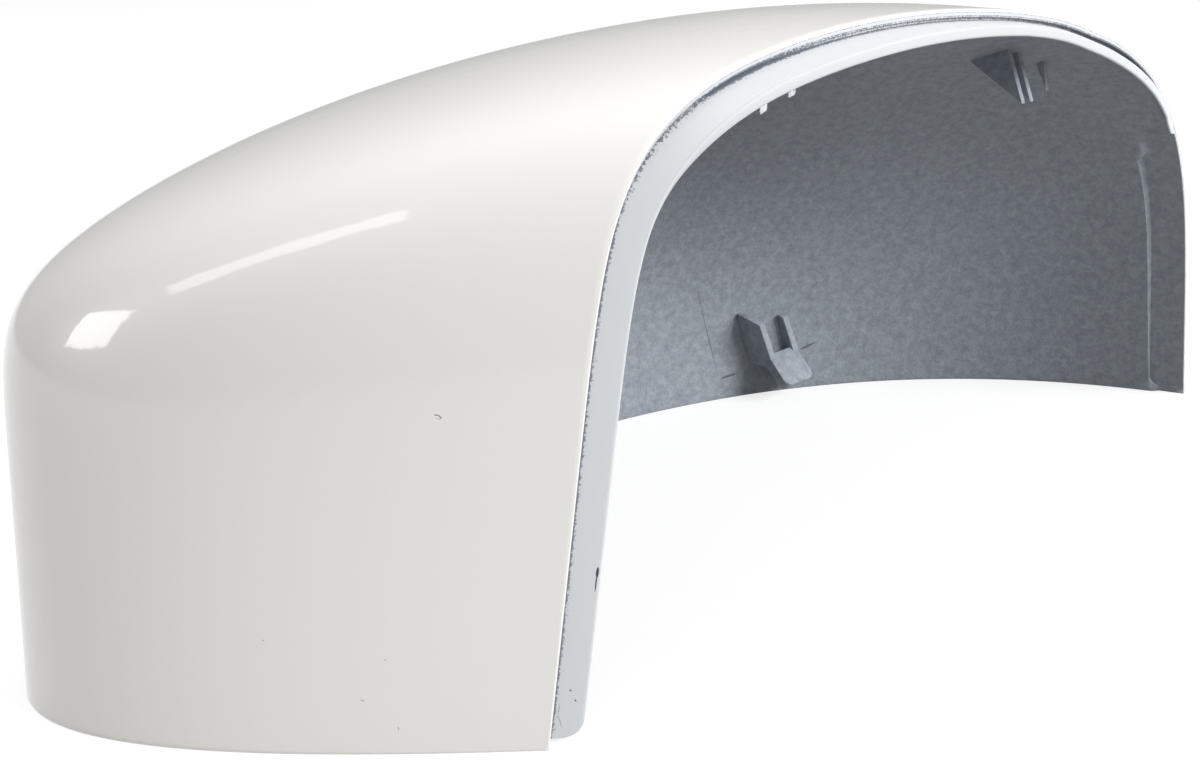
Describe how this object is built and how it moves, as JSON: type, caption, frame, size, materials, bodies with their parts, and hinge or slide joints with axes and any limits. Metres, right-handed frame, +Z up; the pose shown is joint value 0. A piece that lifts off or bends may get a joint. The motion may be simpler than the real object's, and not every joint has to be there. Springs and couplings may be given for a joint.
{
  "type": "wing mirror cover",
  "caption": "Arched one-piece cover cap for a car door mirror, glossy white outside and bare grey plastic inside, open at the rear and below, with a stepped rim lip and moulded clips.",
  "frame": {"origin": "centre of the bounding box on the plane of the lower edge", "axes": "+X outboard along the rim, +Y forward to the nose and front wall, +Z up; the open rear faces -Y"},
  "size_m": [0.215, 0.088, 0.0815],
  "materials": {
    "painted_shell": "gloss off-white paint on dark grey moulded plastic, bare and matt inside"
  },
  "bodies": {
    "root": {"mirror_cover": "painted_shell"}
  },
  "joints": []
}
